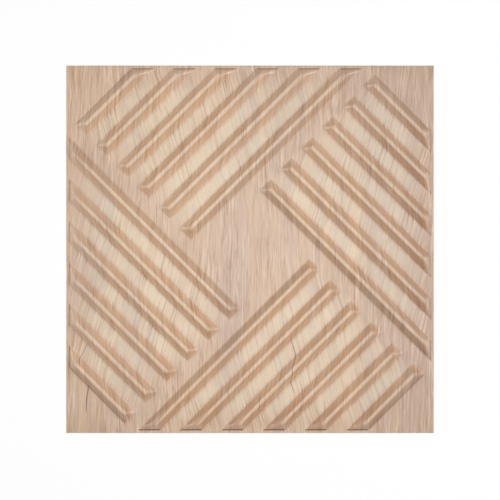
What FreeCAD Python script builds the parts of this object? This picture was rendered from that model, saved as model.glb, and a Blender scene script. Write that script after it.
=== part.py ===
import FreeCAD, Part
import math
import os

# A square wall panel tile, heat-formed from one thin sheet over a mould and trimmed. Four groups of
# raised ribs turn round its centre like a pinwheel. Each rib runs at 45 degrees to the panel's
# edges: one end is square and faces the next group, and the other is cut parallel to the panel's
# edge. The back follows the front at the sheet's thickness, so each rib is a trough from behind.

# Driving dimensions, in millimetres
PANEL_SIDE = 500.0
SHEET_THICKNESS = 1.0
RIM_WIDTH = 5.0         # flat margin between the trimmed edge and the ribs' cut ends
RIBS_PER_GROUP = 6
RIB_PITCH = 40.0
RIB_WIDTH = 20.0        # across the foot, where the sloping sides meet the face
RIB_HEIGHT = 9.0        # above the face
CROWN_WIDTH = 5.4       # across the top, between the sloping sides, before rounding
CORRIDOR_WIDTH = 20.0   # flat way between a group's square ends and the next group's inner rib
MOULD_RADIUS = 2.0      # of the mould's bar at its sharp tip, behind the sheet
FOOT_RADIUS = 4.0       # in front, where a rib rises from the face
EDGE_RADIUS = 0.4       # front of the trimmed edge

# The panel lies face up, with its origin at the centre of its back plane.
BACK_Z = 0.0
FACE_Z = BACK_Z + SHEET_THICKNESS
HALF_SIDE = PANEL_SIDE / 2.0
SIDE_RUN = (RIB_WIDTH - CROWN_WIDTH) / 2.0
SIDE_ANGLE = math.atan2(RIB_HEIGHT, SIDE_RUN)

# A group of ribs is centred between the panel's centre and its corner.
GROUP_WIDTH = (RIBS_PER_GROUP - 1) * RIB_PITCH + RIB_WIDTH
FIRST_RIB = (HALF_SIDE * math.sqrt(2.0) - GROUP_WIDTH) / 2.0
SQUARE_END = CORRIDOR_WIDTH - FIRST_RIB
CUT_END = (HALF_SIDE - RIM_WIDTH) * math.sqrt(2.0)

# A trough's foot lies this far inside its rib's, which keeps the sloping wall at the sheet's thickness.
TROUGH_INSET = SHEET_THICKNESS * math.tan(SIDE_ANGLE / 2.0)

TIP = 1   # a rib's sharp corner, in the order of its outline


def rib_outline(index):
    """Foot of one rib as (along, outward) points, counter-clockwise: outward leads from the centre to
    a corner of the panel, and along follows the rib to its cut end."""
    inner = FIRST_RIB + index * RIB_PITCH
    outer = inner + RIB_WIDTH
    return [
        (SQUARE_END, inner),
        (CUT_END - inner, inner),
        (CUT_END - outer, outer),
        (SQUARE_END, outer),
    ]


def inset(outline, distance):
    """The outline with every side moved inwards by the same distance, its corners kept sharp."""
    moved = []
    for i, (x, y) in enumerate(outline):
        before = outline[i - 1]
        after = outline[(i + 1) % len(outline)]
        normals = []
        for (x1, y1), (x2, y2) in ((before, (x, y)), ((x, y), after)):
            length = math.hypot(x2 - x1, y2 - y1)
            normals.append(((y1 - y2) / length, (x2 - x1) / length))
        (a, b), (c, d) = normals
        scale = distance / (1.0 + a * c + b * d)
        moved.append((x + scale * (a + c), y + scale * (b + d)))
    return moved


def ring(outline, z):
    return [FreeCAD.Vector(x, y, z) for x, y in outline]


def face(points):
    return Part.Face(Part.makePolygon(points + points[:1]))


def at_level(edge, z):
    return all(math.isclose(vertex.Z, z, abs_tol=1e-6) for vertex in edge.Vertexes)


def bar(outline, foot_z, skirt):
    """A bar that slopes in from all four sides of its foot to a flat crown, with the edges of its
    crown and the edge that climbs from its sharp tip. At the same slope it reaches a skirt's depth
    below its foot."""
    crown_z = foot_z + RIB_HEIGHT
    low = ring(inset(outline, -skirt * SIDE_RUN / RIB_HEIGHT), foot_z - skirt)
    high = ring(inset(outline, SIDE_RUN), crown_z)
    faces = [face(low[::-1]), face(high)]
    for i in range(len(low)):
        faces.append(face([low[i - 1], low[i], high[i], high[i - 1]]))
    solid = Part.Solid(Part.Shell(faces))
    crown = [edge for edge in solid.Edges if at_level(edge, crown_z)]
    tip_middle = (low[TIP] + high[TIP]) * 0.5
    tip = min(solid.Edges, key=lambda edge: edge.CenterOfMass.distanceToPoint(tip_middle))
    return solid, crown, tip


def rib(outline):
    """The front of a rib. The sheet rounds the mould's edges by its own thickness."""
    solid, crown, tip = bar(outline, FACE_Z, SHEET_THICKNESS / 2.0)
    return solid.makeFillet(MOULD_RADIUS + SHEET_THICKNESS, crown + [tip])


def trough(outline):
    """The hollow behind a rib: the mould's bar, further in by the sheet's thickness on every side."""
    solid, crown, tip = bar(inset(outline, TROUGH_INSET), BACK_Z, SHEET_THICKNESS)
    return solid.makeFillet(MOULD_RADIUS, [tip])


def pinwheel(make):
    """One shape for each rib of each group, turned into its place on the panel."""
    shapes = []
    for index in range(RIBS_PER_GROUP):
        shape = make(rib_outline(index))
        for angle in (45.0, 135.0, 225.0, 315.0):
            turned = shape.copy()
            turned.rotate(FreeCAD.Vector(0, 0, 0), FreeCAD.Vector(0, 0, 1), angle)
            shapes.append(turned)
    return shapes


def level_edges(shape, z, trimmed):
    """The shape's edges at height z: those of the trimmed outline, or else those within it."""
    chosen = []
    for edge in shape.Edges:
        middle = edge.CenterOfMass
        on_trim = max(abs(middle.x), abs(middle.y)) > HALF_SIDE - RIM_WIDTH / 2.0
        if at_level(edge, z) and on_trim == trimmed:
            chosen.append(edge)
    return chosen


def wall_panel():
    corner = FreeCAD.Vector(-HALF_SIDE, -HALF_SIDE, BACK_Z)
    panel = Part.makeBox(PANEL_SIDE, PANEL_SIDE, SHEET_THICKNESS, corner)
    panel = panel.fuse(pinwheel(rib)).removeSplitter()
    panel = panel.makeFillet(FOOT_RADIUS, level_edges(panel, FACE_Z, trimmed=False))
    panel = panel.cut(pinwheel(trough))
    panel = panel.makeFillet(FOOT_RADIUS + SHEET_THICKNESS, level_edges(panel, BACK_Z, trimmed=False))
    panel = panel.makeFillet(EDGE_RADIUS, level_edges(panel, FACE_Z, trimmed=True))
    return panel.Solids[0]


os.makedirs("parts", exist_ok=True)
wall_panel().exportStep("parts/wall_panel.step")
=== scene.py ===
"""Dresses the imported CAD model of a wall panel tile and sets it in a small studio.

The tile is one printed sheet, formed into ribs, so one closed surface stands for it. It lies face up
on a pale floor, under soft lamps, and the camera looks straight down on it.
"""

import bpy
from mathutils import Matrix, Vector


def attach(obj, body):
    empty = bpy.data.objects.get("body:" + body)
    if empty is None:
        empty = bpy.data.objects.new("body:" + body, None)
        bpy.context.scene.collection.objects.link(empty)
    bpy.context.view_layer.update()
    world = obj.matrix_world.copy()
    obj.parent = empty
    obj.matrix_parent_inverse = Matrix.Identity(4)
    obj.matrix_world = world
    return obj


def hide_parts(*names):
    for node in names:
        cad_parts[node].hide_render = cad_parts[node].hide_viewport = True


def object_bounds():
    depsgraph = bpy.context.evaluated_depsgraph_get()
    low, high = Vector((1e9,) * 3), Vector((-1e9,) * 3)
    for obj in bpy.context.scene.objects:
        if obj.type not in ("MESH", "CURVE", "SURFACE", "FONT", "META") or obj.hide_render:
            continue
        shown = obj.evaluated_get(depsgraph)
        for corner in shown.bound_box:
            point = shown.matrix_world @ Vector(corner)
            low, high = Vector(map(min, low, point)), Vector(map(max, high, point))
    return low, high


bl_info = {
    "name": "Wall Panel Tile",
    "version": (1, 0, 0),
    "blender": (4, 5, 0),
    "location": "3D View > Sidebar > Wall Tile",
    "description": "Builds a formed wall panel tile with a printed wood face, and its studio",
    "category": "Object",
}

import math
from types import SimpleNamespace

import bpy
import numpy as np

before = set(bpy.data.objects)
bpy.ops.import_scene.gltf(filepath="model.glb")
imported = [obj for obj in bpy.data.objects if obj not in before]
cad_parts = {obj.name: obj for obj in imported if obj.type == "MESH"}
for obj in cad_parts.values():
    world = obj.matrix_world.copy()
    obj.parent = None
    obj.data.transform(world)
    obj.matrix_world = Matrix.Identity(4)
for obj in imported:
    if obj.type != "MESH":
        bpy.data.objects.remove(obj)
CAD_LOW, CAD_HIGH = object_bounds()

MM = 0.001
THICKNESS = 1.0 * MM
GROUPS = 4
DIAGONAL = math.sqrt(0.5)

# Grid of the surface
ARC_STATIONS = 6                  # on each rounded edge
STRIP_SHARES = (0.5, 0.25)        # stations in a strip, as shares of the way from a foot to its middle
RIM_SHARE = 0.6                   # part of the rim that the cut ends' stations may use
SEAM_SHARE = 0.05                 # seam in the middle of the corridor, as a share of its width
SEAM_COLUMNS = 8                  # from a rib's square end to the corner of the centre
LONG_COLUMNS = 7                  # from there to its cut end
CORNER_ROWS = (0.4, 1.0)          # from the last rib to the tile's edge, as shares of the way
EDGE_TURNS = (30.0, 60.0, 90.0)   # degrees, on the rounding of the trimmed edge
SHARP_ANGLE = 60.0                # degrees between faces, past which an edge is shaded sharp

# Places on a group where the print changes: a pair is the start and the end of a smooth step
FOOT = (-1.0 * MM, 1.0 * MM)             # inwards over a foot
PULL_SQUARE = (0.0, 10.0 * MM)           # pull of the strips, from the line of the square ends
PULL_CUT = (-2.0 * MM, 6.0 * MM)         # the same, from the line of the cut ends
DRAWN_STRIP = (-0.5 * MM, 5.0 * MM)      # drawn print, from a long foot into the strip
DRAWN_SQUARE = (-10.0 * MM, 40.0 * MM)   # the same, from the line of the square ends
DRAWN_CUT = (0.0, 45.0 * MM)             # the same, from the line of the cut ends
SQUARE_FACE = (6.0 * MM, 12.0 * MM)      # past the sloping face of a square end
CUT_FACE = (0.0, 3.0 * MM)               # past the sloping face of a cut end
END_SHADE_CUT = (8.0 * MM, 55.0 * MM)      # past the painted shade on a side, from the cut end
SHOULDER_LINE = (0.5 * MM, 3.0 * MM)     # away from a shoulder, where a dark line of painted shade lies
CUT_LINE = (0.3 * MM, 1.8 * MM)          # away from the painted shade line in the crease at a cut end
CUT_LINE_ENDS = (-1.0 * MM, 0.5 * MM)    # along that shade line, from the rib's long feet
LAST_LINE = (0.4 * MM, 2.2 * MM)         # away from the painted shade line beside a last rib
CUT_LINE_AT = -0.4 * MM                  # of the shade line at a cut end, inwards from its foot
LAST_LINE_AT = 0.2 * MM                  # of the shade line beside a last rib, outwards from its foot
CROWN_START = 0.5                        # of a crown's tone, in runs of its rounding inside its end
SHOULDER_AT = 1.2                        # of a shoulder, in the same runs

# Shares of the masks where they aren't whole
CROWN_HIGHLIGHT = 0.35      # drawn print on the crowns, partly a painted highlight
FLAT_STRETCHED = 0.5    # stretched print on the sides that face a flat
FLAT_SHADED = 0.20     # painted shade's tone on those sides
SHOULDER_SHADED = 0.14
LAST_SHADED = 0.5

# Streaks of the print: width and length of the largest in metres, finer octaves, their weight and a seed
STREAKS = {
    "sway": (0.045, 0.16, 2.0, 0.5, 3.1),
    "band": (0.032, 0.35, 2.0, 0.6, 7.7),
    "broad": (0.008, 0.10, 3.0, 0.7, 1.3),
    "fine": (0.0022, 0.045, 3.0, 0.75, 4.6),
    "growth": (0.014, 0.24, 2.0, 0.55, 9.4),
    "patch": (0.016, 0.050, 1.0, 0.5, 6.3),
    "cloud": (0.030, 0.030, 2.0, 0.6, 2.4),
    "pore": (0.0016, 0.030, 0.0, 0.5, 5.2),
}
STREAK_MEAN = 0.5
SWAY_REACH = 20.0 * MM       # sideways, from the least sway to the greatest
RING_WIDTH = 0.035           # of a growth ring, in the growth streaks' own value
RING_MEAN = 0.2
LINE_SHARES = {"broad": 0.24, "fine": 1.7, "ring": -0.08}
LINE_GAIN = 2.0              # from a line's strength to its share of colour
PORE_SHARE = 0.25
TONE_LEAN = 0.25             # shift of the broad tone across the grain, for each unit along it
GRAIN_BUMP = 0.15
GRAIN_DEPTH = 0.1 * MM

# Smooth steps of the print, from nothing to whole
PATCH_STEP = (0.30, 0.70)
CLOUD_STEP = (0.30, 0.70)
ROSY_STEP = (0.35, 0.70)
PORE_STEP = (0.66, 0.82)
LOWER_RIGHT_STEP = (-0.10, 0.10)    # metres of x less y, from the upper left, where the ribs' print is paler as a painted sheen, to the warmer lower right
LOWER_STEP = (0.0, -0.24)    # metres of y, from the middle of the tile down towards its lower edge, where the painted shade deepens
CRACK_STEP = (1.0, 0.3)      # half widths from a crack's middle

# Straight lines of the print: a start, and a gain for each unit of what it depends on
PATCHY_LINES = (0.45, 0.9)   # strength of the grain's lines, by the patches
FLAT_LINES = (1.05, -0.40)   # the same, by the drawn print
OVER_RIB_LINES = -0.10       # gain of the same, by the stretched print
CLOUDY_DRAWN = (0.6, 0.5)    # share of the drawn colour, by the clouds
END_SHADE_BY_CORNER = (0.03, 0.34)  # share of the painted shade near the cut ends, from the upper left to the lower right
LOWER_SHADE = (0.62, 0.34)  # share of the painted shade's colour in the creases, by the lowness

# Broad tone across the grain and a little along it: place, and share of rosy bands above or below the usual
TONE = (
    (-0.31, 0.03),
    (-0.21, -0.05),
    (-0.12, -0.10),
    (-0.03, -0.03),
    (0.05, 0.0),
    (0.12, 0.03),
    (0.19, 0.14),
    (0.25, 0.22),
    (0.31, 0.26),
)

# Printed cracks: points (y, x) of the print, half width and strength
CRACKS = (
    (((-0.157, -0.2310), (-0.150, -0.2300), (-0.143, -0.2275), (-0.131, -0.2240)), 0.75 * MM, 0.75),
    (
        ((-0.222, -0.2228), (-0.212, -0.2227), (-0.203, -0.2222), (-0.195, -0.2208), (-0.184, -0.2192)),
        1.10 * MM,
        0.85,
    ),
    (
        ((-0.195, 0.0606), (-0.184, 0.0580), (-0.158, 0.0570), (-0.141, 0.0595), (-0.120, 0.0575)),
        0.85 * MM,
        0.70,
    ),
    (
        ((-0.146, -0.1170), (-0.110, -0.1185), (-0.060, -0.1155), (-0.020, -0.1180), (0.020, -0.1160)),
        0.7 * MM,
        0.4,
    ),
)
CRACK_TAPER = 0.3            # power of a crack's thinning towards its ends
CRACK_LEAST = 0.001 * MM     # half width at its very ends

# Bare back of the sheet
BARE_SCALE = 40.0            # clouds to the metre
BARE_DETAIL = 3.0
BARE_SHADE = 0.92            # of the darker clouds
BARE_ROUGHNESS = 0.5

# Studio
WHITE = (1.0, 1.0, 1.0, 1.0)
FLOOR_COLOUR = (0.95, 0.95, 0.95, 1.0)
FLOOR_REACH = 12.0
FLOOR_DROP = 0.2 * MM        # below the tile, so that their faces don't coincide
FLOOR_GLOW = 1.02
FLOOR_WHITE = 0.8            # share of plain white in the floor that is seen, beside its shadows
SENSOR_WIDTH = 36.0
CLIP_START = 0.05
CLIP_END = 50.0


def length(name, description, default, low=0.0):
    """A length in metres that a user may change."""
    return bpy.props.FloatProperty(
        name=name,
        description=description,
        default=default,
        min=low,
        precision=5,
        subtype="DISTANCE",
        unit="LENGTH",
    )


def share(name, description, default, high=1.0):
    """A plain number from nothing to a highest value."""
    return bpy.props.FloatProperty(
        name=name,
        description=description,
        default=default,
        min=0.0,
        max=high,
        subtype="FACTOR",
    )


def angle(name, description, default):
    """An angle in degrees, kept in radians."""
    return bpy.props.FloatProperty(
        name=name,
        description=description,
        default=math.radians(default),
        subtype="ANGLE",
        unit="ROTATION",
    )


def watts(name, description, default):
    """The power of a lamp."""
    return bpy.props.FloatProperty(
        name=name,
        description=description,
        default=default,
        min=0.0,
        unit="POWER",
    )


def linear(*levels):
    """The linear values of a colour that is written as a screen's levels, 0 to 255."""
    values = np.array(levels) / 255.0
    return tuple(np.where(values <= 0.04045, values / 12.92, ((values + 0.055) / 1.055) ** 2.4))


def colour(name, description, *levels):
    """A colour that a user may change."""
    return bpy.props.FloatVectorProperty(
        name=name,
        description=description,
        default=linear(*levels),
        size=3,
        min=0.0,
        max=1.0,
        subtype="COLOR",
    )


class TileSizes(bpy.types.PropertyGroup):
    """Sizes of the formed sheet."""

    side: length("Side", "Length of each side of the tile", CAD_HIGH.x - CAD_LOW.x)
    thickness: length("Thickness", "Thickness of the sheet", THICKNESS)
    rim: length("Rim", "Flat margin between the trimmed edge and the ribs' cut ends", 5.0 * MM)
    ribs: bpy.props.IntProperty(name="Ribs", description="Ribs in each group", default=6, min=1)
    pitch: length("Pitch", "Distance from one rib to the next", 40.0 * MM)
    rib_width: length("Rib width", "Width of a rib across its foot", 20.0 * MM)
    crown_width: length("Crown width", "Width of a rib's flat top before its edges are rounded", 5.4 * MM)
    rib_height: length("Rib height", "Height of a rib above the face", CAD_HIGH.z - CAD_LOW.z - THICKNESS)
    corridor: length("Corridor", "Flat way between a group's square ends and the next group", 20.0 * MM)
    crown_radius: length("Crown radius", "Rounding of a rib's crown", 3.0 * MM)
    foot_radius: length("Foot radius", "Rounding where a rib rises from the face", 4.0 * MM)
    hip_radius: length("Hip radius", "Rounding of a rib's corners, seen from above", 2.4 * MM)
    edge_radius: length("Edge radius", "Rounding of the trimmed edge's front", 0.4 * MM)


class PrintLook(bpy.types.PropertyGroup):
    """Colours and strengths of the printed face and the bare back."""

    wood: colour("Wood", "Ground colour of the wood print", 199, 167, 139)
    # Also laid on the crowns, where it is partly a painted highlight
    drawn: colour("Drawn", "Ground colour between the ribs, where the sheet is drawn thin", 216, 195, 165)
    band: colour("Band", "Tint of the soft rosy bands along the grain", 236, 239, 249)
    stretched: colour("Stretched", "Print stretched over the ribs, on the warmer half", 208, 169, 135)
    # Painted sheen: the stretched print, paler and cooler on the upper left half
    sheen_stretched: colour("Cool", "Print stretched over the ribs, on the cooler half", 213, 177, 145)
    # Painted shade: dark lines in the creases at the feet of the cut ends and beside the last ribs, deeper
    # towards the lower edge
    crease_shade: colour("Crease", "Dark lines at the feet of the cut ends and beside the last ribs", 112, 72, 38)
    # Painted shade on the sides of the ribs near their cut ends, deeper on the lower right half
    end_shade: colour("Browned", "Sides of the ribs near their cut ends, on the warmer half", 146, 94, 56)
    pale: colour("Pale", "Pale lines of the grain", 223, 198, 174)
    grain: colour("Grain", "Dark lines of the grain", 154, 114, 84)
    crack: colour("Crack", "Thin printed cracks", 62, 36, 20)
    bare: colour("Bare", "Unprinted back of the sheet", 214, 209, 200)
    contrast: share("Contrast", "Strength of the grain's lines", 1.0, 3.0)
    roughness: share("Roughness", "Roughness of the printed film", 0.45)
    coat: share("Coat", "Strength of the satin coat over the print", 0.5)
    coat_roughness: share("Coat roughness", "Roughness of the satin coat", 0.3)


class StudioLook(bpy.types.PropertyGroup):
    """Camera and lamps."""

    distance: length("Camera distance", "From the camera down to the face", 1.30)
    frame_width: length("Frame width", "Width of the picture at the face", 0.6801)
    aim: length("Aim", "How far up the tile from its centre the camera stands", -0.95 * MM, -1.0)
    front_power: watts("Front lamp", "Power of the wide lamp over the tile", 12.0)
    front_size: length("Front lamp size", "Side of the wide lamp", 1.0)
    front_height: length("Front lamp height", "Height of the wide lamp", 1.6)
    key_power: watts("Key lamp", "Power of the lamp at the right", 50.0)
    side_size: length("Side lamp size", "Side of the key and fill lamps", 1.6)
    side_distance: length("Side lamp distance", "From the key and fill lamps to the tile's centre", 3.0)
    key_azimuth: angle("Key azimuth", "Direction of the key lamp round the tile", 3.0)
    key_height: angle("Key height", "Angle of the key lamp above the floor", 35.0)
    fill_power: watts("Fill lamp", "Power of the lamp at the left", 36.0)
    fill_azimuth: angle("Fill azimuth", "Direction of the fill lamp round the tile", 175.0)
    fill_height: angle("Fill height", "Angle of the fill lamp above the floor", 21.0)
    room: share("Room", "Even light from all round", 0.12)


def layout(sizes):
    """Places that follow from the sizes. A group has its own axes: outward, from the tile's centre to a
    corner, and along, which follows the ribs to their cut ends."""
    half = sizes.side / 2.0
    run = (sizes.rib_width - sizes.crown_width) / 2.0
    slope = math.atan2(sizes.rib_height, run)
    first = (half / DIAGONAL - (sizes.ribs - 1) * sizes.pitch - sizes.rib_width) / 2.0
    return SimpleNamespace(
        half=half,
        run=run,
        slope=slope,
        first=first,
        square_end=sizes.corridor - first,
        cut_end=(half - sizes.rim) / DIAGONAL,
        edge=(half - sizes.edge_radius) / DIAGONAL,
        foot_start=-sizes.foot_radius * math.tan(slope / 2.0),
        foot_run=sizes.foot_radius * math.sin(slope),
        crown_end=run + sizes.crown_radius * math.tan(slope / 2.0),
        crown_run=sizes.crown_radius * math.sin(slope),
        gap=(sizes.pitch - sizes.rib_width) / 2.0,
        pull=run / math.cos(slope) - run,
    )


def rise(inset, sizes, place):
    """Height and slope of a rib at an inset from its foot: the sum of a hollow arc's rise, a straight
    slope's and a round crown edge's. The slope is the lesser of the two arcs' own."""
    foot = np.clip(inset - place.foot_start, 0.0, place.foot_run)
    crown = np.clip(place.crown_end - inset, 0.0, place.crown_run)
    slope_start = place.foot_start + place.foot_run
    slope_end = place.crown_end - place.crown_run
    incline = np.clip(inset, slope_start, slope_end) - slope_start
    height = sizes.foot_radius - np.sqrt(sizes.foot_radius**2 - foot**2)
    height += incline * math.tan(place.slope)
    height += np.sqrt(sizes.crown_radius**2 - crown**2) - sizes.crown_radius * math.cos(place.slope)
    slope = np.minimum(np.arcsin(foot / sizes.foot_radius), np.arcsin(crown / sizes.crown_radius))
    return height, slope


def corner_inset(first, second, cosine, radius):
    """Inset from two sides that meet in a round corner, and the first side's share of its direction. On
    the round, the point lies at the radius from a centre that is equally far inside both sides, and
    elsewhere the nearer side counts alone. The cosine is that of the angle between the sides' inward
    normals."""
    lead = (first - second) / 2.0
    reach = radius * (1.0 - cosine) / 2.0
    turn = np.clip(lead, -reach, reach)
    root = np.sqrt(radius**2 * (1.0 + cosine) / 2.0 - turn**2 * (1.0 + cosine) / (1.0 - cosine))
    rounded = (first + second) / 2.0 - radius + root
    inset = np.where(np.abs(lead) < reach, rounded, np.minimum(first, second))
    return inset, 0.5 - 0.5 * turn * (1.0 + cosine) / ((1.0 - cosine) * root)


def rib_inset(along, outward, inner, sizes, place):
    """Inset from the foot of a rib, negative outside it, and the direction in which it grows: the least of
    the insets from its four round corners."""
    inner_side = (outward - inner, (0.0, 1.0))
    outer_side = (inner + sizes.rib_width - outward, (0.0, -1.0))
    square_side = (along - place.square_end, (1.0, 0.0))
    cut_side = ((place.cut_end - outward - along) * DIAGONAL, (-DIAGONAL, -DIAGONAL))
    insets, directions = [], []
    for (one, one_way), (two, two_way) in (
        (inner_side, square_side),
        (outer_side, square_side),
        (inner_side, cut_side),
        (outer_side, cut_side),
    ):
        inset, part = corner_inset(one, two, np.dot(one_way, two_way), sizes.hip_radius)
        part = part[..., None]
        insets.append(inset)
        directions.append(part * np.array(one_way) + (1.0 - part) * np.array(two_way))
    nearest = np.argmin(insets, axis=0)[None]
    inset = np.take_along_axis(np.array(insets), nearest, 0)[0]
    direction = np.take_along_axis(np.array(directions), nearest[..., None], 0)[0]
    return inset, direction / np.linalg.norm(direction, axis=-1, keepdims=True)


def side_stations(sizes, place, seam):
    """Insets at which a rib's side is sampled, from the middle of the flat strip to the crown: equal turns
    of both arcs, and a few on the flats."""
    turns = np.sin(np.linspace(0.0, place.slope, ARC_STATIONS))
    foot = place.foot_start + sizes.foot_radius * turns
    crown = place.crown_end - sizes.crown_radius * turns[::-1]
    strip = -place.gap * np.array(STRIP_SHARES)
    return np.concatenate([[seam / 2.0 - place.gap], strip, foot, [(foot[-1] + crown[0]) / 2.0], crown])


def smooth(value, low, high):
    """Smooth step from 0 at low to 1 at high."""
    step = np.clip((value - low) / (high - low), 0.0, 1.0)
    return step * step * (3.0 - 2.0 * step)


def group_grid(sizes, place, seam):
    """Places of one group's grid, the inner foot of the rib that each row belongs to, and the column at the
    corner of the centre. Rows lie at the stations of the ribs' long sides. Columns lie at those of the
    square ends, then lean over to those of the cut ends, and the last is on the tile's edge. A few more
    rows blend from the last rib to the tile's other edge."""
    stations = side_stations(sizes, place, seam)
    starts = place.first + np.arange(sizes.ribs) * sizes.pitch
    inner_rows = starts[:, None] + stations
    outer_rows = starts[:, None] + sizes.rib_width - stations[:0:-1]
    rows = np.concatenate([inner_rows, outer_rows], axis=1)
    inner = np.repeat(starts, rows.shape[1])[:, None]
    outward = rows.ravel()[:, None]

    left = place.square_end + stations
    cut_stations = stations[stations > -RIM_SHARE * sizes.rim][::-1]
    right = place.cut_end - outward - cut_stations / DIAGONAL
    span = right[:, :1] - left[-1]
    seam_share = (outward[0, 0] - left[-1]) / span[0, 0]
    to_seam = np.linspace(0.0, seam_share, SEAM_COLUMNS + 1)[1:]
    to_cut = np.linspace(seam_share, 1.0, LONG_COLUMNS + 1)[1:-1]
    columns = [
        np.broadcast_to(left, (len(outward), len(left))),
        left[-1] + np.concatenate([to_seam, to_cut]) * span,
        right,
        place.edge - outward,
    ]
    along = np.concatenate(columns, axis=1)
    outward = np.broadcast_to(outward, along.shape)

    fan = (along[-1] - along[-1, 0]) / (along[-1, -1] - along[-1, 0])
    edge_along = along[-1, 0] * (1.0 - fan)
    edge_outward = place.edge + edge_along
    blend = np.array(CORNER_ROWS)[:, None]
    along = np.concatenate([along, (1.0 - blend) * along[-1] + blend * edge_along])
    outward = np.concatenate([outward, (1.0 - blend) * outward[-1] + blend * edge_outward])
    inner = np.concatenate([inner, np.repeat(inner[-1:], len(CORNER_ROWS), axis=0)])
    return along, outward, inner, len(left) + SEAM_COLUMNS - 1


def beside_strips(at):
    """1 on the ribs' long sides and in the strips between them, 0 past their ends and the outer ribs."""
    return at.between * smooth(at.square, *PULL_SQUARE) * smooth(at.cut, *PULL_CUT)


def print_shift(at, place):
    """How far the print has moved from a rib. It keeps its size over the rib and is drawn out in the strip,
    so it moves most at the foot, and less in proportion towards the crown and the strip's middle."""
    reach = np.where(at.inset < 0.0, -at.inset / place.gap, at.inset / place.run)
    return place.pull * np.clip(1.0 - reach, 0.0, 1.0) * beside_strips(at)


def print_masks(at, place):
    """How the print has fared in the forming, as masks of 0 to 1, with painted shade and highlight. It is
    drawn thin in the strips, and a little on the crowns, where the paler tone is partly a painted
    highlight.
    It is stretched on the crowns and the sides, most on those that face a strip. Painted shade lies in the
    creases at the feet of the cut ends and beside the last ribs, a little on the shoulders and on the sides
    that face a flat, and on the sides near the cut ends."""
    crown = smooth(at.inset, place.crown_end - CROWN_START * place.crown_run, place.crown_end)
    side = smooth(at.inset, *FOOT)
    facing = np.maximum(beside_strips(at), 1.0 - smooth(at.square, *SQUARE_FACE))

    fade = smooth(at.square, *DRAWN_SQUARE) * smooth(at.cut, *DRAWN_CUT)
    strip = smooth(at.strip, *DRAWN_STRIP) * at.between * fade

    shoulder_at = place.crown_end - SHOULDER_AT * place.crown_run
    shoulder = 1.0 - smooth(np.abs(at.inset - shoulder_at), *SHOULDER_LINE)
    cut_line = 1.0 - smooth(np.abs(at.cut - CUT_LINE_AT), *CUT_LINE)
    cut_line *= smooth(-at.strip, *CUT_LINE_ENDS)
    last_line = 1.0 - smooth(np.abs(at.strip - LAST_LINE_AT), *LAST_LINE)
    last_line *= at.last * smooth(at.square, *FOOT) * smooth(at.cut, *FOOT)
    flat_side = side * (1.0 - facing) * (1.0 - crown)
    # Painted shade: dark lines in the creases, and fainter on the shoulders and on the sides that face a
    # flat
    shade_lines = [
        cut_line,
        LAST_SHADED * last_line,
        SHOULDER_SHADED * shoulder,
        FLAT_SHADED * flat_side,
    ]

    # Painted shade on the sides near the cut ends
    near_cut = 1.0 - smooth(at.cut, *END_SHADE_CUT)
    return {
        # The crowns take the drawn tone, partly as a painted highlight
        "drawn": np.maximum(strip, CROWN_HIGHLIGHT * crown),
        "stretched": np.maximum(crown, side * np.maximum(facing, FLAT_STRETCHED)),
        "crease_shade": np.maximum.reduce(shade_lines),
        "end_shade": side * (1.0 - crown) * near_cut * smooth(at.cut - at.inset, *CUT_FACE),
    }


def group_surface(sizes, place, seam):
    """One group of ribs as a grid: the front at its height above each place, the back behind it by the
    sheet's thickness along the normal, the print's place and its masks."""
    along, outward, inner, seam_column = group_grid(sizes, place, seam)
    inset, direction = rib_inset(along, outward, inner, sizes, place)
    height, slope = rise(inset, sizes, place)
    front = np.dstack([along, outward, sizes.thickness + height])
    lean = np.sin(slope)[..., None] * direction
    back = front + sizes.thickness * np.dstack([lean, -np.cos(slope)])

    middle = inner + 0.5 * sizes.rib_width
    at = SimpleNamespace(
        inset=inset,
        square=along - place.square_end,
        cut=(place.cut_end - outward - along) * DIAGONAL,
        strip=np.abs(outward - middle) - 0.5 * sizes.rib_width,
        between=(outward > middle[0]) & (outward < middle[-1]),
        last=outward > middle[-1],
    )
    return SimpleNamespace(
        front=front,
        back=back,
        printed=front[..., :2] - print_shift(at, place)[..., None] * direction,
        masks=print_masks(at, place),
        seam_column=seam_column,
    )


def turned(points, quarter):
    """Points of the first group's axes, turned into those of the tile for one of the four groups."""
    turn = math.radians(45.0 + 90.0 * quarter)
    x, y = points[..., 0], points[..., 1]
    moved = points.copy()
    moved[..., 0] = x * math.cos(turn) - y * math.sin(turn)
    moved[..., 1] = x * math.sin(turn) + y * math.cos(turn)
    return moved


def all_groups(points):
    """A grid of points as a list, turned into the place of each group in order."""
    return np.concatenate([turned(points, k).reshape(-1, points.shape[-1]) for k in range(GROUPS)])


def grid_faces(index):
    """Faces between the neighbours in a grid of vertex numbers, counter-clockwise."""
    corners = [index[:-1, :-1], index[:-1, 1:], index[1:, 1:], index[1:, :-1]]
    return np.stack(corners, axis=-1).reshape(-1, 4)


def zip_faces(left, left_at, right, right_at):
    """Triangles that join two rows of vertices side by side. Each edge takes the vertex that stands across
    from its middle, counted by the middles of the other row's edges that come before it."""
    left_middle = (left_at[1:] + left_at[:-1]) / 2.0
    right_middle = (right_at[1:] + right_at[:-1]) / 2.0
    across_right = left[np.searchsorted(left_middle, right_middle, side="left")]
    across_left = right[np.searchsorted(right_middle, left_middle, side="right")]
    from_right = np.stack([across_right, right[:-1], right[1:]], axis=-1)
    from_left = np.stack([left[:-1], across_left, left[1:]], axis=-1)
    return np.concatenate([from_right, from_left])


def corridor_faces(group, index):
    """Faces of the flat ways: each joins a group's square ends to the first row of the next group."""
    column = group.seam_column
    left_at = group.front[0, column:, 0]
    right_at = group.front[:, 0, 1]
    ways = []
    for k in range(GROUPS):
        left = index[(k + 1) % GROUPS, 0, column:]
        ways.append(zip_faces(left, left_at, index[k, :, 0], right_at))
    return np.concatenate(ways)


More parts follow.
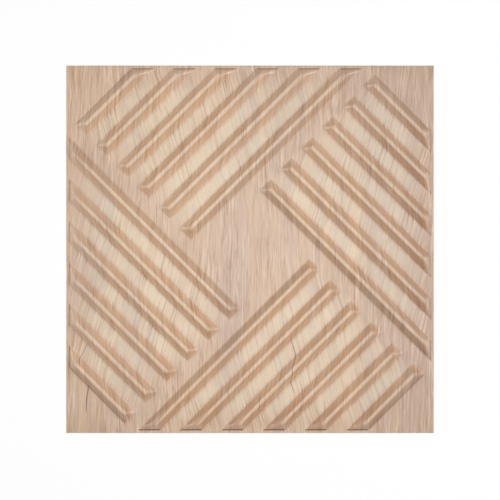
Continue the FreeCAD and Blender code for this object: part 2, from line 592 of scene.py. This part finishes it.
def centre_square(sizes, group, index, start):
    """The flat centre: a square grid between the groups' first rows, each of its points a blend of the two
    sides that face each other. Gives its inner points, and the grid of vertex numbers, in which the inner
    points count from start."""
    column = group.seam_column
    sides = []
    for k in range(GROUPS):
        corner = index[(k + 1) % GROUPS, 0, column]
        sides.append(np.append(corner, index[k, 0, : column + 1]))
    stops = np.append(-group.front[0, column, 0], group.front[0, : column + 1, 0])
    count = len(stops)
    blend = np.linspace(0.0, 1.0, count)[:, None]
    along = (1.0 - blend) * -stops[::-1] + blend * stops
    outward = (1.0 - blend.T) * stops[:, None] - blend.T * stops[::-1, None]
    flat = np.dstack([along, outward, np.full_like(along, sizes.thickness)])[1:-1, 1:-1]
    points = turned(flat, 0).reshape(-1, 3)
    square = np.empty((count, count), dtype=int)
    square[1:-1, 1:-1] = start + np.arange(len(points)).reshape(count - 2, count - 2)
    square[-1, :], square[:, 0], square[0, ::-1], square[::-1, -1] = sides
    return points, square


def edge_rings(border, inside, radius):
    """Rings of the trimmed edge: the front's border, carried outwards by the sine of each turn and down by
    what its cosine falls short of 1."""
    turns = np.radians(EDGE_TURNS)[:, None, None]
    out = 1.0 + np.sin(turns) * radius / inside
    rings = border * np.concatenate([out, out, np.ones_like(out)], axis=2)
    rings[..., 2:] -= (1.0 - np.cos(turns)) * radius
    return rings


def sheet_surface(sizes):
    """The whole sheet: four groups, the flat ways between them, the centre, the back behind the front and
    the trimmed edge that closes them."""
    place = layout(sizes)
    group = group_surface(sizes, place, SEAM_SHARE * sizes.corridor)
    rows, columns = group.front.shape[:2]
    index = np.arange(GROUPS * rows * columns).reshape(GROUPS, rows, columns)
    front = all_groups(group.front)
    centre, square = centre_square(sizes, group, index, len(front))
    front = np.concatenate([front, centre])
    back = np.concatenate([all_groups(group.back), centre * (1.0, 1.0, 0.0)])
    printed = np.concatenate([all_groups(group.printed), centre[:, :2]])
    total = len(front)

    border = np.concatenate([np.append(index[k, :, -1], index[k, -1, -2::-1]) for k in range(GROUPS)])
    inside = place.half - sizes.edge_radius
    rings = edge_rings(front[border], inside, sizes.edge_radius)
    back[border, :2] = front[border, :2] * place.half / inside
    ring_index = 2 * total + np.arange(rings.shape[0] * rings.shape[1]).reshape(rings.shape[:2])
    bands = np.concatenate([border[None], ring_index, total + border[None]])
    bands = np.concatenate([bands, bands[:, :1]], axis=1)

    quads = np.concatenate([grid_faces(part) for part in (*index, square)])
    triangles = corridor_faces(group, index)
    edge_faces = grid_faces(bands[::-1])
    fours = np.concatenate([quads, edge_faces, quads[:, ::-1] + total])
    threes = np.concatenate([triangles, triangles[:, ::-1] + total])

    # Bare: the wall of the edge, which is the first of its bands, and the back.
    wall = len(border)
    runs = [len(quads), wall, len(edge_faces) - wall, len(quads), len(triangles), len(triangles)]
    masks = {}
    for name, mask in group.masks.items():
        face = np.append(np.tile(mask.ravel(), GROUPS), np.zeros(len(centre)))
        masks[name] = np.concatenate([face, face, np.zeros(ring_index.size)])
    return SimpleNamespace(
        points=np.concatenate([front, back, rings.reshape(-1, 3)]),
        faces=fours.tolist() + threes.tolist(),
        printed=np.concatenate([printed, printed, rings[..., :2].reshape(-1, 2)]),
        masks=masks,
        bare=np.repeat([0, 1, 0, 1, 0, 1], runs).astype(np.int32),
    )


def node(tree, kind, inputs=None, **settings):
    """A node with its settings and inputs. An input is a plain value, or the socket of another node."""
    made = tree.nodes.new(kind)
    for name, value in settings.items():
        setattr(made, name, value)
    for name, value in (inputs or {}).items():
        if isinstance(value, bpy.types.NodeSocket):
            tree.links.new(value, made.inputs[name])
        else:
            made.inputs[name].default_value = value
    return made


def maths(tree, operation, *values):
    """The result of a Math node."""
    return node(tree, "ShaderNodeMath", dict(enumerate(values)), operation=operation).outputs[0]


def straight(tree, value, start, gain):
    """A start, and a gain for each unit of a value."""
    return maths(tree, "MULTIPLY_ADD", value, gain, start)


def ramp(tree, value, low, high):
    """A smooth step of a value from 0 at low to 1 at high."""
    inputs = {"Value": value, "From Min": low, "From Max": high}
    return node(tree, "ShaderNodeMapRange", inputs, interpolation_type="SMOOTHSTEP").outputs[0]


def opaque(shade):
    """A colour with its alpha."""
    return (*shade, 1.0)


def mixed(tree, factor, first, second, blend="MIX"):
    """The colour of a Mix node."""
    inputs = {0: factor, 6: first, 7: second}
    return node(tree, "ShaderNodeMix", inputs, data_type="RGBA", blend_type=blend).outputs[2]


def separate(tree, place):
    """The coordinates of a place."""
    return node(tree, "ShaderNodeSeparateXYZ", {0: place}).outputs


def surface_mask(tree, name):
    """One of the piece's own masks."""
    return node(tree, "ShaderNodeAttribute", attribute_name=name).outputs["Fac"]


def group_tree(name, inputs, outputs):
    """A shader node group with named sockets, and its two end nodes."""
    tree = bpy.data.node_groups.new(name, "ShaderNodeTree")
    for label, kind, default in inputs:
        socket = tree.interface.new_socket(label, in_out="INPUT", socket_type=kind)
        if default is not None:
            socket.default_value = default
    for label, kind in outputs:
        tree.interface.new_socket(label, in_out="OUTPUT", socket_type=kind)
    return tree, tree.nodes.new("NodeGroupInput").outputs, tree.nodes.new("NodeGroupOutput")


def streak_group():
    """Noise that is drawn out along the grain: its width and length are those of its largest streaks."""
    tree, given, result = group_tree(
        "Streaks",
        [
            ("Print", "NodeSocketVector", None),
            ("Width", "NodeSocketFloat", 0.01),
            ("Length", "NodeSocketFloat", 0.1),
            ("Finer", "NodeSocketFloat", 2.0),
            ("Weight", "NodeSocketFloat", 0.6),
            ("Seed", "NodeSocketFloat", 0.0),
        ],
        [("Value", "NodeSocketFloat")],
    )
    place = separate(tree, given["Print"])
    across = maths(tree, "DIVIDE", place["X"], given["Width"])
    along = maths(tree, "DIVIDE", place["Y"], given["Length"])
    spot = node(tree, "ShaderNodeCombineXYZ", {"X": across, "Y": along, "Z": given["Seed"]}).outputs[0]
    inputs = {"Vector": spot, "Scale": 1.0, "Detail": given["Finer"], "Roughness": given["Weight"]}
    noise = node(tree, "ShaderNodeTexNoise", inputs).outputs[0]
    tree.links.new(noise, result.inputs["Value"])
    return tree


def streak_value(tree, group, place, name):
    """The value of the streak group, placed with the numbers of one kind of streak."""
    inputs = dict(zip(("Width", "Length", "Finer", "Weight", "Seed"), STREAKS[name]))
    inputs["Print"] = place
    return node(tree, "ShaderNodeGroup", inputs, node_tree=group).outputs["Value"]


def print_streaks(tree, place):
    """The value of each kind of streak. Clouds lie on the print itself, and the others on a grain that
    sways a little from side to side."""
    group = streak_group()
    sway = streak_value(tree, group, place, "sway")
    offset = maths(tree, "MULTIPLY", maths(tree, "SUBTRACT", sway, STREAK_MEAN), SWAY_REACH)
    aside = node(tree, "ShaderNodeCombineXYZ", {"X": offset}).outputs[0]
    swayed = node(tree, "ShaderNodeVectorMath", {0: place, 1: aside}, operation="ADD").outputs[0]
    values = {"cloud": streak_value(tree, group, place, "cloud")}
    for name in ("band", "broad", "fine", "growth", "patch", "pore"):
        values[name] = streak_value(tree, group, swayed, name)
    return SimpleNamespace(**values)


def curve_value(tree, value, points):
    """A smooth curve of a value through (value, result) points, in order."""
    points = np.array(points)
    low, high = points.min(axis=0), points.max(axis=0)
    inputs = {"Value": value, "From Min": low[0], "From Max": high[0]}
    part = node(tree, "ShaderNodeMapRange", inputs).outputs[0]
    bend = node(tree, "ShaderNodeFloatCurve", {"Value": part})
    stops = bend.mapping.curves[0].points
    for _ in points[2:]:
        stops.new(0.5, 0.5)
    for stop, place in zip(stops, (points - low) / (high - low)):
        stop.location = place
    bend.mapping.update()
    inputs = {"Value": bend.outputs[0], "To Min": low[1], "To Max": high[1]}
    return node(tree, "ShaderNodeMapRange", inputs).outputs[0]


def crack_mask(tree, spot, path, width):
    """Mask of one thin crack: near to a smooth curve through the path's points, and thinner to its ends."""
    middle = curve_value(tree, spot["Y"], path)
    away = maths(tree, "ABSOLUTE", maths(tree, "SUBTRACT", spot["X"], middle))
    inputs = {"Value": spot["Y"], "From Min": path[0][0], "From Max": path[-1][0]}
    part = node(tree, "ShaderNodeMapRange", inputs).outputs[0]
    rest = maths(tree, "SUBTRACT", 1.0, part)
    bow = maths(tree, "MULTIPLY", maths(tree, "MULTIPLY", part, rest), 4.0)
    reach = straight(tree, maths(tree, "POWER", bow, CRACK_TAPER), CRACK_LEAST, width)
    return ramp(tree, maths(tree, "DIVIDE", away, reach), *CRACK_STEP)


def grain_lines(tree, streaks, thin, over, contrast):
    """Lines of the grain, above 0 where they are pale and below 0 where they are dark: broad and fine
    streaks and growth rings, stronger in patches and weaker where the print is drawn or stretched."""
    growth = maths(tree, "ABSOLUTE", maths(tree, "SUBTRACT", streaks.growth, STREAK_MEAN))
    ring = ramp(tree, growth, RING_WIDTH, 0.0)
    lines = 0.0
    for name, value, mean in (
        ("broad", streaks.broad, STREAK_MEAN),
        ("fine", streaks.fine, STREAK_MEAN),
        ("ring", ring, RING_MEAN),
    ):
        lines = straight(tree, maths(tree, "SUBTRACT", value, mean), lines, LINE_SHARES[name])
    patchy = straight(tree, ramp(tree, streaks.patch, *PATCH_STEP), *PATCHY_LINES)
    softer = straight(tree, over, straight(tree, thin, *FLAT_LINES), OVER_RIB_LINES)
    strength = maths(tree, "MULTIPLY", maths(tree, "MULTIPLY", patchy, softer), contrast)
    return maths(tree, "MULTIPLY", lines, strength)


def line_share(tree, lines, operation, gain):
    """Share of the pale or the dark lines: what is above or below 0, at most 1."""
    part = maths(tree, "MULTIPLY", maths(tree, operation, lines, 0.0), gain)
    return maths(tree, "MINIMUM", part, 1.0)


def print_ground(tree, look, spot, streaks, thin, over, lower_right):
    """Ground colour of the print: wood, the stretched tone over the ribs, which is paler and cooler on the
    upper left half of the tile as a painted sheen, the drawn tone in the strips, and rosy bands."""
    # Painted sheen: the ribs' print is paler on the upper left half
    sheened = mixed(tree, lower_right, opaque(look.sheen_stretched), opaque(look.stretched))
    ribbed = mixed(tree, over, opaque(look.wood), sheened)
    cloudy = straight(tree, ramp(tree, streaks.cloud, *CLOUD_STEP), *CLOUDY_DRAWN)
    ground = mixed(tree, maths(tree, "MULTIPLY", thin, cloudy), ribbed, opaque(look.drawn))
    across = straight(tree, spot["Y"], spot["X"], TONE_LEAN)
    tone = maths(tree, "ADD", streaks.band, curve_value(tree, across, TONE))
    return mixed(tree, ramp(tree, tone, *ROSY_STEP), ground, opaque(look.band), "MULTIPLY")


def print_material(look):
    """Satin film with a wood print. The ground colour takes pale and dark lines and short pores along the
    grain, painted shade on the sides near the cut ends and in the creases, and a few thin cracks."""
    material = bpy.data.materials.new("printed_film")
    material.use_nodes = True
    tree = material.node_tree
    shader = tree.nodes["Principled BSDF"]
    place = node(tree, "ShaderNodeAttribute", attribute_name="print").outputs["Vector"]
    spot = separate(tree, place)
    streaks = print_streaks(tree, place)
    thin = surface_mask(tree, "drawn")
    over = surface_mask(tree, "stretched")
    # 0 on the upper left, 1 on the lower right: places the painted sheen and part of the painted shade
    lower_right = ramp(tree, maths(tree, "SUBTRACT", spot["X"], spot["Y"]), *LOWER_RIGHT_STEP)
    lines = grain_lines(tree, streaks, thin, over, look.contrast)

    pores = maths(tree, "MULTIPLY", ramp(tree, streaks.pore, *PORE_STEP), PORE_SHARE)
    end_shade_share = straight(tree, lower_right, *END_SHADE_BY_CORNER)
    lowness_shade = straight(tree, ramp(tree, spot["Y"], *LOWER_STEP), *LOWER_SHADE)
    coats = [
        (line_share(tree, lines, "MAXIMUM", LINE_GAIN), look.pale),
        (line_share(tree, lines, "MINIMUM", -LINE_GAIN), look.grain),
        (pores, look.grain),
        # Painted shade on the sides near the cut ends, deeper on the lower right
        (maths(tree, "MULTIPLY", surface_mask(tree, "end_shade"), end_shade_share), look.end_shade),
        # Painted shade in the creases, deeper towards the lower edge
        (maths(tree, "MULTIPLY", surface_mask(tree, "crease_shade"), lowness_shade), look.crease_shade),
    ]
    for path, width, strength in CRACKS:
        coats.append((maths(tree, "MULTIPLY", crack_mask(tree, spot, path, width), strength), look.crack))
    printed = print_ground(tree, look, spot, streaks, thin, over, lower_right)
    for part, shade in coats:
        printed = mixed(tree, part, printed, opaque(shade))

    tree.links.new(printed, shader.inputs["Base Color"])
    shader.inputs["Roughness"].default_value = look.roughness
    shader.inputs["Coat Weight"].default_value = look.coat
    shader.inputs["Coat Roughness"].default_value = look.coat_roughness
    inputs = {"Height": streaks.fine, "Strength": GRAIN_BUMP, "Distance": GRAIN_DEPTH}
    tree.links.new(node(tree, "ShaderNodeBump", inputs).outputs[0], shader.inputs["Normal"])
    return material


def bare_material(look):
    """Unprinted back of the sheet: plain pale plastic with a faint cast."""
    material = bpy.data.materials.new("bare_sheet")
    material.use_nodes = True
    tree = material.node_tree
    shader = tree.nodes["Principled BSDF"]
    place = node(tree, "ShaderNodeTexCoord").outputs["Object"]
    inputs = {"Vector": place, "Scale": BARE_SCALE, "Detail": BARE_DETAIL}
    cloud = node(tree, "ShaderNodeTexNoise", inputs).outputs[0]
    darker = [BARE_SHADE * level for level in look.bare]
    shade = mixed(tree, cloud, opaque(look.bare), opaque(darker))
    tree.links.new(shade, shader.inputs["Base Color"])
    shader.inputs["Roughness"].default_value = BARE_ROUGHNESS
    return material


class WALLTILE_OT_sheet(bpy.types.Operator):
    """Make the formed and printed sheet"""

    bl_idname = "wall_tile.sheet"
    bl_label = "Formed Sheet"
    bl_options = {"REGISTER", "UNDO"}

    def execute(self, context):
        scene = context.scene
        surface = sheet_surface(scene.tile_sizes)
        mesh = bpy.data.meshes.new("formed_sheet")
        mesh.from_pydata(surface.points.tolist(), [], surface.faces)
        if mesh.validate():
            raise RuntimeError("the sheet's surface has faults")
        mesh.shade_smooth()
        mesh.set_sharp_from_angle(angle=math.radians(SHARP_ANGLE))
        places = mesh.attributes.new("print", "FLOAT_VECTOR", "POINT")
        flat = np.column_stack([surface.printed, np.zeros(len(surface.printed))])
        places.data.foreach_set("vector", flat.astype(np.float32).ravel())
        for name, mask in surface.masks.items():
            values = mesh.attributes.new(name, "FLOAT", "POINT")
            values.data.foreach_set("value", mask.astype(np.float32))
        mesh.materials.append(print_material(scene.print_look))
        mesh.materials.append(bare_material(scene.print_look))
        mesh.polygons.foreach_set("material_index", surface.bare)
        mesh.update()
        sheet = bpy.data.objects.new("formed_sheet", mesh)
        scene.collection.objects.link(sheet)
        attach(sheet, "root")
        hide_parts("wall_panel")
        return {"FINISHED"}


def plain_rays(tree):
    """1 for rays that show the background itself: from the camera, mirrored or seen through glass."""
    path = node(tree, "ShaderNodeLightPath").outputs
    seen = maths(tree, "MAXIMUM", path["Is Camera Ray"], path["Is Glossy Ray"])
    return maths(tree, "MAXIMUM", seen, path["Is Transmission Ray"])


def floor_material():
    """Pale floor that is seen as white and keeps the tile's shadow."""
    material = bpy.data.materials.new("floor")
    material.use_nodes = True
    tree = material.node_tree
    tree.nodes.clear()
    diffuse = node(tree, "ShaderNodeBsdfDiffuse", {"Color": FLOOR_COLOUR}).outputs[0]
    white = node(tree, "ShaderNodeEmission", {"Color": WHITE, "Strength": FLOOR_GLOW}).outputs[0]
    amount = maths(tree, "MULTIPLY", plain_rays(tree), FLOOR_WHITE)
    shown = node(tree, "ShaderNodeMixShader", {0: amount, 1: diffuse, 2: white}).outputs[0]
    node(tree, "ShaderNodeOutputMaterial", {"Surface": shown})
    return material


def make_floor(scene):
    """A wide flat square just under the tile."""
    level = CAD_LOW.z - FLOOR_DROP
    corners = [(-1.0, -1.0), (1.0, -1.0), (1.0, 1.0), (-1.0, 1.0)]
    mesh = bpy.data.meshes.new("floor")
    mesh.from_pydata([(FLOOR_REACH * x, FLOOR_REACH * y, level) for x, y in corners], [], [(0, 1, 2, 3)])
    mesh.materials.append(floor_material())
    floor = bpy.data.objects.new("floor", mesh)
    scene.collection.objects.link(floor)


def make_room(scene, look):
    """A white background that lights the tile only faintly."""
    world = bpy.data.worlds.new("room")
    world.use_nodes = True
    tree = world.node_tree
    ground = tree.nodes["Background"]
    ground.inputs["Color"].default_value = WHITE
    strength = node(tree, "ShaderNodeMix", {0: plain_rays(tree), 2: look.room, 3: 1.0}).outputs[0]
    tree.links.new(strength, ground.inputs["Strength"])
    scene.world = world


def area_lamp(scene, name, spot, size, power):
    """A square white lamp that faces the tile's centre."""
    lamp = bpy.data.lights.new(name, "AREA")
    lamp.size = size
    lamp.energy = power
    made = bpy.data.objects.new(name, lamp)
    made.location = spot
    made.rotation_euler = (-made.location).to_track_quat("-Z", "Y").to_euler()
    scene.collection.objects.link(made)


def make_lamps(scene, look):
    """A wide lamp above the tile, and one at each side."""
    area_lamp(scene, "front_lamp", (0.0, 0.0, look.front_height), look.front_size, look.front_power)
    for name, power, azimuth, height in (
        ("key_lamp", look.key_power, look.key_azimuth, look.key_height),
        ("fill_lamp", look.fill_power, look.fill_azimuth, look.fill_height),
    ):
        flat = look.side_distance * math.cos(height)
        up = look.side_distance * math.sin(height)
        spot = (math.cos(azimuth) * flat, math.sin(azimuth) * flat, up)
        area_lamp(scene, name, spot, look.side_size, power)


def make_camera(scene, look):
    """The camera over the tile, which looks straight down."""
    data = bpy.data.cameras.new("camera")
    data.sensor_width = SENSOR_WIDTH
    data.lens = data.sensor_width * look.distance / look.frame_width
    data.clip_start = CLIP_START
    data.clip_end = CLIP_END
    camera = bpy.data.objects.new("camera", data)
    camera.location = (0.0, look.aim, look.distance + scene.tile_sizes.thickness)
    scene.collection.objects.link(camera)
    scene.camera = camera


class WALLTILE_OT_studio(bpy.types.Operator):
    """Make the floor, the lamps and the camera"""

    bl_idname = "wall_tile.studio"
    bl_label = "Studio"
    bl_options = {"REGISTER", "UNDO"}

    def execute(self, context):
        scene = context.scene
        scene.view_settings.view_transform = "Standard"
        make_floor(scene)
        make_room(scene, scene.studio_look)
        make_lamps(scene, scene.studio_look)
        make_camera(scene, scene.studio_look)
        return {"FINISHED"}


class WALLTILE_PT_panel(bpy.types.Panel):
    """Sizes, looks and the operators that use them"""

    bl_label = "Wall Tile"
    bl_space_type = "VIEW_3D"
    bl_region_type = "UI"
    bl_category = "Wall Tile"

    def draw(self, context):
        scene = context.scene
        for group, operator in (
            (scene.tile_sizes, None),
            (scene.print_look, WALLTILE_OT_sheet),
            (scene.studio_look, WALLTILE_OT_studio),
        ):
            column = self.layout.column()
            for name in group.__annotations__:
                column.prop(group, name)
            if operator:
                column.operator(operator.bl_idname)


CLASSES = (TileSizes, PrintLook, StudioLook, WALLTILE_OT_sheet, WALLTILE_OT_studio, WALLTILE_PT_panel)


def register():
    """Register the classes, and give the scene its settings."""
    for cls in CLASSES:
        bpy.utils.register_class(cls)
    bpy.types.Scene.tile_sizes = bpy.props.PointerProperty(type=TileSizes)
    bpy.types.Scene.print_look = bpy.props.PointerProperty(type=PrintLook)
    bpy.types.Scene.studio_look = bpy.props.PointerProperty(type=StudioLook)


def unregister():
    """Take the settings and the classes away again."""
    del bpy.types.Scene.studio_look
    del bpy.types.Scene.print_look
    del bpy.types.Scene.tile_sizes
    for cls in reversed(CLASSES):
        bpy.utils.unregister_class(cls)


def main():
    """Make the tile and its studio."""
    register()
    bpy.ops.wall_tile.sheet()
    bpy.ops.wall_tile.studio()


if __name__ == "__main__":
    main()
